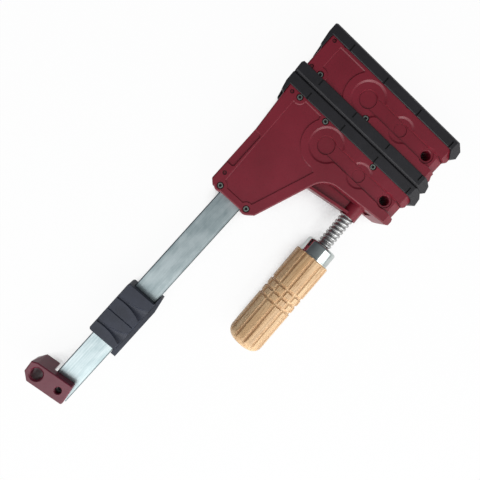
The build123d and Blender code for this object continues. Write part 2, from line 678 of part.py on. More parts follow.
def arm_cavity():
    """Room inside the moving jaw for the arm over its whole feed, open towards the throat."""
    head = block((HEAD_BACK_U - CAVITY_GAP, HEAD_THROAT_U + CAVITY_GAP), (CAVITY_FLOOR, ROOF),
                 (-HEAD_HALF_WIDTH - CAVITY_SIDE_GAP, HEAD_HALF_WIDTH + CAVITY_SIDE_GAP))
    slot_half = BOSS_RADIUS + SLOT_SIDE_GAP
    slot = block((HEAD_THROAT_U, BOSS_RADIUS + SLOT_PAST_BOSS), (CAVITY_FLOOR, ROOF), (-slot_half, slot_half))
    return leaned(head + slot)


def spindle_socket():
    """Stepped pocket for the thrust disc, the spindle's head, the retaining plate and the neck."""
    disc = spindle_bar(THRUST_DISC_RADIUS + PIN_FIT, HEAD_SEAT, THRUST_DISC_TOP)
    head = spindle_bar(SPINDLE_HEAD_RADIUS + 0.2, PLATE_TOP, HEAD_SEAT)
    plate = block((-PLATE_HALF_LENGTH - PIN_FIT, PLATE_HALF_LENGTH + PIN_FIT), (PLATE_BASE, PLATE_TOP),
                  (-PLATE_HALF_WIDTH - PIN_FIT, PLATE_HALF_WIDTH + PIN_FIT))
    neck = spindle_bar(SPINDLE_NECK_RADIUS + 0.4, ROOF - 1, PLATE_BASE)
    return leaned(disc + head + plate + neck)


def make_moving_jaw():
    places = moving_screw_places()
    body = casting(moving_jaw_outline())
    for x, y in places[:2]:
        body += round_bar(x, y, SCREW_HEAD_RADIUS + SCREW_HEAD_ROOM + FOOT_SCREW_WALL, -HALF_JAW, HALF_JAW)
    body = fillet(outline_edges(body), JAW_ROUND)
    body -= tip_bevels()
    body -= bar_channel(BAR_SLIDE, -BEYOND, JAW_HEIGHT + 1)
    body -= arm_cavity() + spindle_socket()
    body -= bearing_pins(PIN_FIT)
    foot_dimple_x = -HALF_BAR - FOOT_TO_BAR + MOVING_DIMPLE_FROM_BACK
    body -= both_sides(link_relief(MOVING_DISC_Y) + moving_panel() + thumb_recess()
                       + dimples([(BACK_X + MOVING_DIMPLE_IN, JAW_HEIGHT - MOVING_DIMPLE_DOWN),
                                  (foot_dimple_x, MOVING_DIMPLE_UP)]))
    body -= tip_hole(MOVING_DISC_Y)
    for x, y in places:
        body -= screw_hole(x, y)
    return halves(body)


# Pads

def pad_slots(edge, towards):
    """Narrow grooves across both flanges, from the flange's free edge towards the face, with a notch each."""
    low, high = sorted((edge - towards, edge + towards * PAD_SLOT_LENGTH))
    floor = PAD_Z - PAD_SLOT_DEPTH
    grooves = []
    for number in range(PAD_SLOT_COUNT):
        x = PAD_SLOT_X + number * PAD_SLOT_PITCH
        grooves.append(block((x - PAD_SLOT_WIDTH / 2, x + PAD_SLOT_WIDTH / 2), (low, high), (floor, PAD_Z + 1)))
        grooves.append(prism([(x - PAD_NOTCH, edge), (x, edge + towards * PAD_NOTCH * 2), (x + PAD_NOTCH, edge),
                              (x, edge - towards)], floor, PAD_Z + 1))
    return both_sides(grooves[0] + grooves[1:])


def face_bevels(face, towards):
    """Slanted cuts along the corners between a pad's face and its flanges."""
    section = [(face, PAD_Z - PAD_BEVEL), (face + towards * PAD_BEVEL, PAD_Z), (face + towards * PAD_BEVEL, PAD_Z + 1),
               (face - towards, PAD_Z + 1), (face - towards, PAD_Z - PAD_BEVEL)]
    wedge = extrude(Plane.YZ * make_face(Polyline(*section, close=True)), 2 * TIP_X, both=True)
    return both_sides(wedge)


def make_pad(outline, jaw_outline, face, edge):
    """Cover that clips over one end of a jaw: its outline less the casting inside it."""
    towards = 1 if face > edge else -1
    pad = prism(outline, -PAD_Z, PAD_Z)
    pad = chamfer(outline_edges(pad), PAD_CHAMFER)
    pad -= face_bevels(face, -towards)
    pad -= tip_bevels(PAD_SKIN)
    pad -= casting(jaw_outline) - tip_bevels()
    return pad - pad_slots(edge, towards)


def tail_room(edge):
    """What is left out between a pad's front and rear tails."""
    lip = PAD_Z - PAD_LIP
    return block((BACK_X - BEYOND, BACK_X + BEYOND), (edge - BEYOND, edge), (-lip, lip))


def pad_window():
    """Opening in an inner pad's face for the bar."""
    return bar_channel(PAD_BAR_CLEARANCE, -BEYOND, FIXED_TOP)


def make_outer_pad():
    face = FIXED_TOP + PAD_FACE
    edge = FIXED_TOP - OUTER_PAD_FLANGE
    tail_end = FIXED_TOP - OUTER_PAD_TAIL
    outer = BACK_X - PAD_WALL
    outline = [(outer + 1.8, face), (LUG_X - 5.2, face), (LUG_X + 3.0, face - 2.8), (LUG_X + 4.7, face - 9.7),
               (LUG_X - 0.8, edge - 5.1), (LUG_X - 7.9, edge), (BACK_X, edge),
               (BACK_X, tail_end - OUTER_TAIL_WALL), (BACK_X - OUTER_TAIL_WALL, tail_end), (outer, edge),
               (outer, face - 1.8)]
    return make_pad(outline, fixed_jaw_outline(), face, edge) - tail_room(edge)


def make_fixed_pad():
    edge = FIXED_FOOT + PAD_FLANGE
    outer = BACK_X - PAD_WALL
    outline = [(outer + 0.5, FIXED_FACE), (LUG_X + 2.4, FIXED_FACE), (LUG_X + 5.6, FIXED_FACE + 3.6),
               (LUG_X + 3.4, edge - 1.6), (LUG_X - 1.9, edge), (outer + 1.4, edge), (outer, edge - 2.2)]
    return make_pad(outline, fixed_jaw_outline(), FIXED_FACE, edge) - pad_window()


def make_moving_pad():
    edge = JAW_HEIGHT - PAD_FLANGE
    outer = BACK_X - PAD_WALL
    tail_end = JAW_HEIGHT - MOVING_PAD_TAIL
    back_slope = (BACK_TO_BAR - FOOT_TO_BAR) / BACK_BEND_DOWN
    outline = [(outer + 1.4, MOVING_FACE), (LUG_X, MOVING_FACE), (LUG_X + 5.6, JAW_HEIGHT - 0.5),
               (LUG_X + 7.1, edge + 0.3), (LUG_X + 2.1, edge - 2.6), (LUG_X - 2.2, edge),
               (BACK_X + PAD_FLANGE * back_slope, edge), (BACK_X + MOVING_PAD_TAIL * back_slope, tail_end),
               (BACK_X - MOVING_TAIL_WALL, tail_end + MOVING_TAIL_WALL), (outer + 0.6, edge),
               (outer + 0.3, MOVING_FACE - 1.6)]
    return make_pad(outline, moving_jaw_outline(), MOVING_FACE, edge) - tail_room(edge) - pad_window()


# Thrust bearing

def make_thrust_disc():
    return leaned(spindle_bar(THRUST_DISC_RADIUS, HEAD_SEAT + TURN_GAP, THRUST_DISC_TOP))


def make_retaining_plate():
    """Slotted plate that slides in under the spindle's head."""
    plate = block((-PLATE_HALF_LENGTH, PLATE_HALF_LENGTH), (PLATE_BASE, PLATE_TOP),
                  (-PLATE_HALF_WIDTH, PLATE_HALF_WIDTH))
    neck = SPINDLE_NECK_RADIUS + 0.2
    slot = spindle_bar(neck, PLATE_BASE - 1, PLATE_TOP + 1)
    slot += block((-neck, neck), (PLATE_BASE - 1, PLATE_TOP + 1), (0, PLATE_HALF_WIDTH + 1))
    return leaned(plate - slot)


# Arm

def beam_floor(u):
    """Lower edge of the arm's beam, which deepens from the boss towards the head."""
    start = -BOSS_RADIUS
    return ARM_TOP - BEAM_END_HEIGHT - (start - u) * tan(radians(BEAM_SLOPE))


def beam_section(inset, back, front):
    """Side outline of the beam, drawn in by an inset at its top and bottom."""
    return [(back, ARM_TOP - inset), (front, ARM_TOP - inset), (front, beam_floor(front) + inset),
            (back, beam_floor(back) + inset)]


def make_arm():
    boss = spindle_bar(BOSS_RADIUS, BOSS_BASE, ARM_TOP)
    beam = prism(beam_section(0, HEAD_THROAT_U - 1, 0), -BEAM_HALF_WIDTH, BEAM_HALF_WIDTH)
    pocket = prism(beam_section(BEAM_FLANGE, HEAD_THROAT_U + 2, 0), BEAM_WEB_HALF, BEAM_HALF_WIDTH + 1, 1.0)
    beam -= both_sides(pocket)
    head = prism([(HEAD_BACK_U, HEAD_FLOOR), (HEAD_THROAT_U, HEAD_FLOOR), (HEAD_THROAT_U, ARM_TOP),
                  (HEAD_BACK_U, ARM_TOP)], -HEAD_HALF_WIDTH, HEAD_HALF_WIDTH, 2.0)
    arm = boss + beam + head
    window_half = HALF_BAR_THICKNESS + WINDOW_SIDE_PLAY
    arm -= block((WINDOW_BACK_U, WINDOW_THROAT_U), (HEAD_FLOOR - 1, ARM_TOP + 1), (-window_half, window_half))
    arm -= spindle_bar(SPINDLE_DIAMETER / 2 + THREAD_FIT, BOSS_BASE - 1, ARM_TOP + 1)
    arm -= brake_pins(PIN_FIT, HEAD_HALF_WIDTH + 1)
    return leaned(arm)


def brake_pins(clearance, top):
    """Pins that bite the bar's edges: upper back and lower throat side of the window."""
    back = (WINDOW_BACK_U - BRAKE_PIN_RADIUS + BRAKE_PIN_STAND, ARM_TOP - BRAKE_PIN_INSET)
    throat = (WINDOW_THROAT_U + BRAKE_PIN_RADIUS - BRAKE_PIN_STAND, HEAD_FLOOR + BRAKE_PIN_INSET)
    low = -BRAKE_PIN_DEPTH - clearance
    return [round_bar(u, v, BRAKE_PIN_RADIUS + clearance, low, top) for u, v in (back, throat)]


def make_brake_pins():
    return leaned(Compound(children=brake_pins(0.0, HEAD_HALF_WIDTH - 0.2)))


# Spindle and handle

def make_spindle():
    radius = SPINDLE_DIAMETER / 2
    thread_top = ARM_TOP
    tang_top = FERRULE_BASE
    return leaned(turned([(0, HEAD_SEAT), (SPINDLE_HEAD_RADIUS - 0.5, HEAD_SEAT),
                          (SPINDLE_HEAD_RADIUS, HEAD_SEAT - 0.5), (SPINDLE_HEAD_RADIUS, HEAD_BASE),
                          (SPINDLE_NECK_RADIUS, HEAD_BASE), (SPINDLE_NECK_RADIUS, thread_top + 0.3),
                          (radius - 1.2, thread_top), (radius, thread_top - 1.2),
                          (radius, FERRULE_TOP - FERRULE_CROWN), (TANG_RADIUS, FERRULE_TOP - FERRULE_CROWN - 2),
                          (TANG_RADIUS, tang_top - TANG_LENGTH), (0, tang_top - TANG_LENGTH)]))


def make_ferrule():
    """Turned steel cap over the handle's tenon, with a rounded crown and a bead at its rim."""
    outside = prism([(0, FERRULE_BASE), (FERRULE_RADIUS, FERRULE_BASE), (FERRULE_RADIUS, FERRULE_TOP),
                     (0, FERRULE_TOP)], 0, 1, [0, 0, FERRULE_ROUND, 0]).faces().sort_by(Axis.Z)[0]
    cup = revolve(outside, Axis.Y)
    bead = turned([(FERRULE_RADIUS - 1, FERRULE_BASE), (FERRULE_RADIUS + FERRULE_BEAD, FERRULE_BASE),
                   (FERRULE_RADIUS + FERRULE_BEAD, FERRULE_BASE + 1), (FERRULE_RADIUS - 1, FERRULE_BASE + 2)])
    inside = spindle_bar(FERRULE_RADIUS - FERRULE_WALL, FERRULE_BASE - 1, FERRULE_TOP - FERRULE_CROWN)
    hole = spindle_bar(SPINDLE_DIAMETER / 2 + TANG_FIT, FERRULE_BASE - 1, FERRULE_TOP + 1)
    return leaned(cup + bead - inside - hole)


def handle_profile():
    """Half section of the handle: tenon, shoulder, grooved grip and rounded end."""
    tenon_radius = FERRULE_RADIUS - FERRULE_WALL - HANDLE_TENON_GAP
    tenon_top = FERRULE_TOP - FERRULE_CROWN - HANDLE_TENON_GAP - 2
    foot = FERRULE_BASE - HANDLE_LENGTH
    corners = [(0, foot), (HANDLE_RADIUS, foot), (HANDLE_RADIUS, FERRULE_BASE - HANDLE_CHAMFER),
               (HANDLE_RADIUS - HANDLE_CHAMFER, FERRULE_BASE), (tenon_radius, FERRULE_BASE),
               (tenon_radius, tenon_top), (0, tenon_top)]
    return make_face(FilletPolyline(*corners, radius=[0, HANDLE_ROUND, 0, 0, 0, 0, 0], close=True))


def cove(width, depth):
    """Radius of a hollow's circle and how far its middle lies from the handle's axis."""
    radius = (width ** 2 / 4 + depth ** 2) / (2 * depth)
    return radius, HANDLE_RADIUS - depth + radius


def make_handle():
    handle = revolve(handle_profile(), Axis.Y)
    radius, reach = cove(FLUTE_WIDTH, FLUTE_DEPTH)
    flute = Pos(0, 0, reach) * spindle_bar(radius, FERRULE_BASE - HANDLE_LENGTH - 1, FERRULE_BASE)
    for number in range(FLUTE_COUNT):
        handle -= Rot(0, FLUTE_START + number * 360 / FLUTE_COUNT, 0) * flute
    radius, reach = cove(RING_GROOVE_WIDTH, RING_GROOVE_DEPTH)
    for number in range(RING_GROOVE_COUNT):
        height = FERRULE_BASE - RING_GROOVE_FIRST - number * RING_GROOVE_PITCH
        handle -= revolve(Pos(reach, height) * Circle(radius), Axis.Y)
    handle -= spindle_bar(TANG_RADIUS + TANG_FIT, FERRULE_BASE - TANG_LENGTH - 1, FERRULE_TOP)
    return leaned(handle)


# Saddle

def saddle_half(top, length, corners, strip_top, strip_foot, ramp):
    """One clip of the saddle: a block round the bar and a strip on its throat side."""
    foot = top - length
    back = -HALF_BAR - SADDLE_WALL
    ledge = HALF_BAR + SADDLE_LEDGE
    side = HALF_BAR + STRIP_REACH
    body = prism([(back, foot), (ledge, foot), (ledge, top), (back, top)], -SADDLE_HALF_THICKNESS,
                 SADDLE_HALF_THICKNESS, [corners[1], SADDLE_CORNER, SADDLE_CORNER, corners[0]])
    body = chamfer(outline_edges(body), SADDLE_CHAMFER)
    section = make_face(Polyline((ledge - SADDLE_EDGE, SADDLE_HALF_THICKNESS),
                                 (ledge + SADDLE_EDGE, SADDLE_HALF_THICKNESS - 2 * SADDLE_EDGE_DROP),
                                 (ledge + SADDLE_EDGE, SADDLE_HALF_THICKNESS + 1),
                                 (ledge - SADDLE_EDGE, SADDLE_HALF_THICKNESS + 1), close=True))
    body -= both_sides(extrude(Plane.XZ * section, BAR_BELOW_JAW, dir=(0, -1, 0)))
    strip = block((HALF_BAR + SADDLE_CLEARANCE, side), (strip_foot, strip_top),
                  (-STRIP_HALF_THICKNESS, STRIP_HALF_THICKNESS))
    if ramp:
        strip -= prism([(side - STRIP_TIP, strip_top), (side, strip_top - ramp), (side + 1, strip_top - ramp),
                        (side + 1, strip_top + 1), (side - STRIP_TIP, strip_top + 1)], -BEYOND, BEYOND)
    room = block((HALF_BAR + SADDLE_CLEARANCE, side + 1), (strip_foot - BEYOND, strip_foot),
                 (-STRIP_HALF_THICKNESS, STRIP_HALF_THICKNESS))
    body = body - room + strip
    return body - bar_channel(SADDLE_CLEARANCE, foot - BEYOND, top + BEYOND)


def finger_scoop(height):
    """Hollow across the front: it starts as a narrow groove at the back and flares towards the throat."""
    start = -HALF_BAR - SADDLE_WALL + SCOOP_START
    end = HALF_BAR + SADDLE_LEDGE + SADDLE_EDGE
    stations = [(0, SCOOP_NARROW, SCOOP_NARROW_DEPTH), (SCOOP_MIDDLE_SHARE, SCOOP_MIDDLE, SCOOP_MIDDLE_DEPTH),
                (1, SCOOP_WIDE, SCOOP_WIDE_DEPTH)]
    sections = []
    for share, half_width, depth in stations:
        radius = (half_width ** 2 + depth ** 2) / (2 * depth)
        place = (start + share * (end - start), height + share * SCOOP_RISE, SADDLE_HALF_THICKNESS - depth + radius)
        sections.append(Plane(origin=place, x_dir=(0, 1, 0), z_dir=(1, 0, 0)) * Circle(radius))
    return both_sides(loft(sections))


def make_saddle():
    top = -SADDLE_DOWN
    split_height = top - SADDLE_UPPER_LENGTH
    strip_split = split_height - STRIP_LAP
    lower_foot = split_height - SADDLE_SEAM - SADDLE_LOWER_LENGTH
    upper = saddle_half(top, SADDLE_UPPER_LENGTH, (SADDLE_END_ROUND, SADDLE_CORNER), top + STRIP_ABOVE,
                        strip_split, STRIP_RAMP)
    upper -= finger_scoop(split_height + UPPER_SCOOP_UP)
    lower = saddle_half(split_height - SADDLE_SEAM, SADDLE_LOWER_LENGTH, (SADDLE_CORNER, SADDLE_CORNER * 3),
                        strip_split - SADDLE_SEAM, lower_foot - STRIP_BELOW, 0)
    lower -= block((HALF_BAR + SADDLE_CLEARANCE, BEYOND), (strip_split - SADDLE_SEAM, split_height + 1),
                   (-STRIP_HALF_THICKNESS - SADDLE_SEAM, STRIP_HALF_THICKNESS + SADDLE_SEAM))
    lower -= finger_scoop(lower_foot + LOWER_SCOOP_UP)
    return upper, lower


# End stop

def stop_place(shape):
    """Shape drawn about the stop's pin, put in its place on the bar's free end."""
    return Pos(0, BAR_FOOT + STOP_UP, 0) * Rot(0, 0, STOP_TILT) * shape


def make_end_stop():
    back = -HALF_BAR - STOP_BACK
    shoulder = -HALF_BAR - STOP_SHOULDER
    outline = [(back, STOP_HEEL_UP - STOP_FOOT), (back, STOP_TOP - STOP_SHOULDER_DOWN), (shoulder, STOP_TOP),
               (HALF_BAR - STOP_THROAT_TOP, STOP_TOP), (HALF_BAR - STOP_THROAT_FOOT, -STOP_FOOT),
               (-HALF_BAR - STOP_HEEL, -STOP_FOOT)]
    corners = [STOP_CORNER, 0, 0, STOP_THROAT_CORNER, STOP_THROAT_CORNER, STOP_CORNER]
    stop = prism(outline, -STOP_HALF_THICKNESS, STOP_HALF_THICKNESS, corners)
    corner = Vector(back, STOP_TOP - STOP_SHOULDER_DOWN, STOP_HALF_THICKNESS)
    along_back = Vector(back, STOP_TOP - STOP_REAR_SHOULDER_DOWN, -STOP_HALF_THICKNESS) - corner
    along_top = Vector(shoulder, STOP_TOP, -STOP_HALF_THICKNESS) - corner
    rear_shoulder = Plane(corner, x_dir=along_back, z_dir=along_top.cross(along_back))
    stop = split(stop, rear_shoulder, keep=Keep.BOTTOM)
    stop = fillet(outline_edges(stop), STOP_ROUND)
    plate_base = HALF_BAR_THICKNESS + STOP_SLOT_PLAY
    stop -= block((-HALF_BAR - STOP_SLOT_BACK, BEYOND), (-BEYOND, BEYOND), (-BEYOND, plate_base))
    hole_x = -HALF_BAR - HANGING_HOLE_BACK
    stop -= round_bar(hole_x, HANGING_HOLE_UP, HANGING_HOLE_RADIUS, -BEYOND, BEYOND)
    stop -= both_sides(countersink(hole_x, HANGING_HOLE_UP, HANGING_HOLE_RADIUS, HANGING_HOLE_CHAMFER,
                                   STOP_HALF_THICKNESS))
    stop -= round_bar(0, 0, STOP_PIN_RADIUS + PIN_FIT, -BEYOND, BEYOND)
    stop -= countersink(0, 0, STOP_PIN_RADIUS, STOP_PIN_RIM, STOP_HALF_THICKNESS)
    return stop_place(stop)


def make_stop_pin():
    """Rolled spring pin: a slit tube through the stop's front plate and the bar."""
    tube = round_bar(0, 0, STOP_PIN_RADIUS, -HALF_BAR_THICKNESS, STOP_HALF_THICKNESS - STOP_PIN_SINK)
    tube -= round_bar(0, 0, STOP_PIN_BORE, -BEYOND, BEYOND)
    tube -= block((0, BEYOND), (-STOP_PIN_SLIT / 2, STOP_PIN_SLIT / 2), (-BEYOND, BEYOND))
    return stop_place(tube)


# All pieces, moved so that the origin is below the middle of the whole clamp

def make_parts():
    fixed_front, fixed_rear = make_fixed_jaw()
    moving_front, moving_rear = make_moving_jaw()
    saddle_upper, saddle_lower = make_saddle()
    return {
        "bar": make_bar(),
        "fixed_jaw_front": fixed_front,
        "fixed_jaw_rear": fixed_rear,
        "fixed_jaw_screws": Compound(children=[cap_screw(x, y) for x, y in fixed_screw_places()]),
        "fixed_jaw_pins": Compound(children=dowels()),
        "outer_pad": make_outer_pad(),
        "fixed_pad": make_fixed_pad(),
        "end_stop": make_end_stop(),
        "end_stop_pin": make_stop_pin(),
        "moving_jaw_front": moving_front,
        "moving_jaw_rear": moving_rear,
        "moving_jaw_screws": Compound(children=[cap_screw(x, y) for x, y in moving_screw_places()]),
        "moving_pad": make_moving_pad(),
        "bearing_pins": Compound(children=bearing_pins()),
        "thrust_disc": make_thrust_disc(),
        "retaining_plate": make_retaining_plate(),
        "arm": make_arm(),
        "brake_pins": make_brake_pins(),
        "spindle": make_spindle(),
        "ferrule": make_ferrule(),
        "handle": make_handle(),
        "saddle_upper": saddle_upper,
        "saddle_lower": saddle_lower,
    }


def write_parts():
    parts = make_parts()
    limits = [shape.bounding_box() for shape in parts.values()]
    low_x, high_x = min(box.min.X for box in limits), max(box.max.X for box in limits)
    low_y, high_y = min(box.min.Y for box in limits), max(box.max.Y for box in limits)
    low_z = min(box.min.Z for box in limits)
    to_origin = Pos(-(low_x + high_x) / 2, -(low_y + high_y) / 2, -low_z)
    os.makedirs("parts", exist_ok=True)
    for name, shape in parts.items():
        export_step(to_origin * shape, f"parts/{name}.step")
    print("origin in the drawing frame:", (low_x + high_x) / 2, (low_y + high_y) / 2, low_z)
    print("feed travel:", FEED_TRAVEL, "metres per radian:", THREAD_PITCH / 1000 / (2 * pi))


write_parts()
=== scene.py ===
import bpy
import json
from math import atan2, cos, pi, radians, sin
from mathutils import Euler, Matrix, Vector


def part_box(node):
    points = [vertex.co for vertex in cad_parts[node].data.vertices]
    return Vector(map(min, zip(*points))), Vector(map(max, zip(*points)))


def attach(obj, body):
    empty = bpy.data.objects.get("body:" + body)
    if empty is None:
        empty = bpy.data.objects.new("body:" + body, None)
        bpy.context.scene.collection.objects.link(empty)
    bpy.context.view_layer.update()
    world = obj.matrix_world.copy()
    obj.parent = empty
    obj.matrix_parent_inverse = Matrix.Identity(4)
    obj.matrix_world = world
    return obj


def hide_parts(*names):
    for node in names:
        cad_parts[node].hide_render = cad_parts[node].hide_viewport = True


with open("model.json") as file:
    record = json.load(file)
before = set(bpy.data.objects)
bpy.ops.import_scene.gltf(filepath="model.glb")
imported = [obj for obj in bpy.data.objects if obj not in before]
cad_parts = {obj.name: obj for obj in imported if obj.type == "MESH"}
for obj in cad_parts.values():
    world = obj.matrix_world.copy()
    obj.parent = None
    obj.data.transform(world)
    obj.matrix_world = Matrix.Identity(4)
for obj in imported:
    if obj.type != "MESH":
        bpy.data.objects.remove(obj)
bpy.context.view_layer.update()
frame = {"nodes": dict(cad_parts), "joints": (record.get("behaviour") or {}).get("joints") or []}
NODES = frame["nodes"]
MM = 0.001

# What the frame gives: the bar's corners, and the spindle's axis, which leans a little against the bar
BAR_LOW, BAR_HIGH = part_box("bar")
SPINDLE_TURN = next(joint for joint in frame["joints"] if joint["name"] == "spindle_turn")
SPINDLE_ORIGIN = Vector(SPINDLE_TURN["pos_m"])
SPINDLE_AXIS = Vector(SPINDLE_TURN["axis"]).normalized()


def add_object(name, data):
    """New object in the scene."""
    item = bpy.data.objects.new(name, data)
    bpy.context.scene.collection.objects.link(item)
    return item


# Nodes of a material

WHITE = (1, 1, 1)
ROOM_SAMPLES = 8


def new_material(name):
    """Empty material with its node tree and its main shader."""
    material = bpy.data.materials.new(name)
    material.use_nodes = True
    return material, material.node_tree, material.node_tree.nodes["Principled BSDF"]


def add(tree, kind, **settings):
    """New node with its plain settings."""
    node = tree.nodes.new(kind)
    for name, value in settings.items():
        setattr(node, name, value)
    return node


def set_inputs(node, **values):
    """Sets sockets by name, with underscores for spaces."""
    for name, value in values.items():
        node.inputs[name.replace("_", " ")].default_value = value


def link_inputs(tree, node, **sources):
    """Links sockets by name, with underscores for spaces."""
    for name, source in sources.items():
        tree.links.new(source, node.inputs[name.replace("_", " ")])


def object_point(tree, stretch=(1, 1, 1), turn=(0, 0, 0)):
    """Object coordinates in metres, stretched and turned."""
    coordinates = add(tree, "ShaderNodeTexCoord")
    mapping = add(tree, "ShaderNodeMapping")
    set_inputs(mapping, Scale=stretch, Rotation=turn)
    link_inputs(tree, mapping, Vector=coordinates.outputs["Object"])
    return mapping.outputs["Vector"]


def coordinate(tree, point, axis):
    """One coordinate of a point."""
    node = add(tree, "ShaderNodeSeparateXYZ")
    link_inputs(tree, node, Vector=point)
    return node.outputs[axis]


def noise(tree, point, per_metre=1.0, detail=3.0, rough=0.5):
    """Noise value at a point, with about so many clouds to a metre."""
    node = add(tree, "ShaderNodeTexNoise")
    set_inputs(node, Scale=per_metre, Detail=detail, Roughness=rough)
    link_inputs(tree, node, Vector=point)
    return node.outputs["Fac"]


def room(tree, reach, alone=False):
    """Openness within reach: 1 in the open and less in corners, of a piece on its own or among the others."""
    node = add(tree, "ShaderNodeAmbientOcclusion", samples=ROOM_SAMPLES, only_local=alone)
    set_inputs(node, Distance=reach)
    return node.outputs["AO"]


def map_range(tree, value, to_range, from_range=(0.0, 1.0)):
    """Value carried from one range over to another."""
    node = add(tree, "ShaderNodeMapRange")
    set_inputs(node, From_Min=from_range[0], From_Max=from_range[1], To_Min=to_range[0], To_Max=to_range[1])
    link_inputs(tree, node, Value=value)
    return node.outputs["Result"]


def calculated(tree, operation, first, second):
    """A value and another, or a plain number, through a math node."""
    node = add(tree, "ShaderNodeMath", operation=operation)
    tree.links.new(first, node.inputs[0])
    if isinstance(second, bpy.types.NodeSocket):
        tree.links.new(second, node.inputs[1])
    else:
        node.inputs[1].default_value = second
    return node.outputs[0]


def ramp(tree, value, *stops):
    """Colour ramp from (position, colour) stops."""
    node = add(tree, "ShaderNodeValToRGB")
    elements = node.color_ramp.elements
    while len(elements) < len(stops):
        elements.new(0.5)   # it gets its own position below
    for element, (position, colour) in zip(elements, stops):
        element.position = position
        element.color = (*colour, 1)
    link_inputs(tree, node, Fac=value)
    return node.outputs["Color"]


def mixed(tree, first, second, share):
    """Weighted sum of two values."""
    node = add(tree, "ShaderNodeMix", data_type="FLOAT")
    set_inputs(node, Factor=share)
    link_inputs(tree, node, A=first, B=second)
    return node.outputs["Result"]


def tinted(tree, base, marks, share=1.0):
    """One colour multiplied by another."""
    node = add(tree, "ShaderNodeMix", data_type="RGBA", blend_type="MULTIPLY")
    set_inputs(node, Factor=share)
    link_inputs(tree, node, A=base, B=marks)
    return node.outputs["Result"]


def with_painted_shade(tree, colour, shade_colour, reach=1.5 * MM, dark_at=0.50, unshaded_at=0.92):
    """Colour with painted shade: it darkens towards the shade colour in corners and narrow recesses, by how
    open each point is.
    """
    openness = room(tree, reach, alone=True)
    return tinted(tree, colour, ramp(tree, openness, (dark_at, shade_colour), (unshaded_at, WHITE)))


def bump(tree, shader, height, strength, depth, under=None):
    """Bump from a height value, over another bump's normal if there is one."""
    node = add(tree, "ShaderNodeBump")
    set_inputs(node, Strength=strength, Distance=depth)
    link_inputs(tree, node, Height=height)
    if under is not None:
        link_inputs(tree, node, Normal=under)
    link_inputs(tree, shader, Normal=node.outputs["Normal"])
    return node.outputs["Normal"]


def shader_mix(tree, share, first, second):
    """First shader with a share of the second over it."""
    node = add(tree, "ShaderNodeMixShader")
    tree.links.new(share, node.inputs[0])
    tree.links.new(first, node.inputs[1])
    tree.links.new(second, node.inputs[2])
    return node.outputs[0]


# Materials

SCREW_TOP_DEPTH = 0.3 * MM            # from the top of a screw's head down to where its bright top face ends
BACK_EDGE_SHADE = (0.12, 0.13, 0.15)  # painted shade on the bar's edge at the clamp's back
FACE_TINT = (0.87, 0.88, 0.89)
THROAT_EDGE_SHADE = (0.25, 0.27, 0.28)    # painted shade on its other edge


def shade(colour, share):
    """A darker tone of a colour."""
    return tuple(share * part for part in colour)


def red_casting(name, dark, light):
    """Stove-enamelled casting: dark red, half gloss, with a fine orange peel and painted shade in its corners
    and recesses.
    """
    material, tree, shader = new_material(name)
    point = object_point(tree)
    clouds = ramp(tree, noise(tree, point, per_metre=22, detail=2), (0.35, dark), (0.65, light))
    specks = noise(tree, point, per_metre=900, detail=2)
    enamel = tinted(tree, clouds, ramp(tree, specks, (0.30, (0.72, 0.70, 0.70)), (0.42, WHITE)), share=0.6)
    # Painted shade: the enamel is darkened in corners and recesses by how open each point is.
    final_colour = with_painted_shade(tree, enamel, shade_colour=(0.20, 0.17, 0.20), reach=1.7 * MM)
    roughness = map_range(tree, noise(tree, point, per_metre=160, detail=2), to_range=(0.30, 0.42))
    link_inputs(tree, shader, Base_Color=final_colour, Roughness=roughness)
    grain = noise(tree, point, per_metre=2400, detail=2)
    peel = noise(tree, point, per_metre=420, detail=2)
    grained = bump(tree, shader, grain, strength=0.2, depth=0.03 * MM)
    bump(tree, shader, peel, strength=0.2, depth=0.08 * MM, under=grained)
    return material


def moulded(name, colour, rough):
    """Moulded plastic with a fine matt grain and painted shade in its corners, slots and recesses."""
    material, tree, shader = new_material(name)
    point = object_point(tree)
    mottled = ramp(tree, noise(tree, point, per_metre=60), (0.35, shade(colour, 0.7)), (0.65, colour))
    # Painted shade: darker in corners, slots and recesses.
    final_colour = with_painted_shade(tree, mottled, shade_colour=(0.08, 0.08, 0.08))
    wear = noise(tree, point, per_metre=300, detail=2)
    roughness = map_range(tree, wear, to_range=(rough - 0.05, rough + 0.10))
    link_inputs(tree, shader, Base_Color=final_colour, Roughness=roughness)
    bump(tree, shader, noise(tree, point, per_metre=1800, detail=2), strength=0.30, depth=0.05 * MM)
    return material


def zinc_bar():
    """Zinc-plated flat steel: cloudy, with rolling streaks along its length, painted shade along both edges
    and a painted highlight band near the throat-side edge.
    """
    material, tree, shader = new_material("zinc_bar")
    streaks = noise(tree, object_point(tree, stretch=(1100, 9, 1100)), detail=4)
    clouds = noise(tree, object_point(tree, stretch=(90, 42, 90)), detail=5, rough=0.6)
    both = mixed(tree, clouds, streaks, share=0.32)
    plating = ramp(tree, both, (0.38, (0.41, 0.50, 0.51)), (0.60, (0.61, 0.685, 0.69)))
    place = coordinate(tree, object_point(tree), "X")
    across = map_range(tree, place, to_range=(0.0, 1.0), from_range=(BAR_LOW.x, BAR_HIGH.x))
    # Painted shade along both edges, and a painted highlight band (WHITE over FACE_TINT) near the throat-side
    # edge
    edge_shade_and_highlight = ramp(tree, across, (0.025, BACK_EDGE_SHADE), (0.055, FACE_TINT), (0.70, FACE_TINT), (0.90, WHITE),
                 (0.95, WHITE), (0.98, THROAT_EDGE_SHADE))
    final_colour = tinted(tree, plating, edge_shade_and_highlight)
    set_inputs(shader, Metallic=1.0)
    link_inputs(tree, shader, Base_Color=final_colour, Roughness=map_range(tree, clouds, to_range=(0.32, 0.50)))
    bump(tree, shader, streaks, strength=0.25, depth=0.08 * MM)
    return material


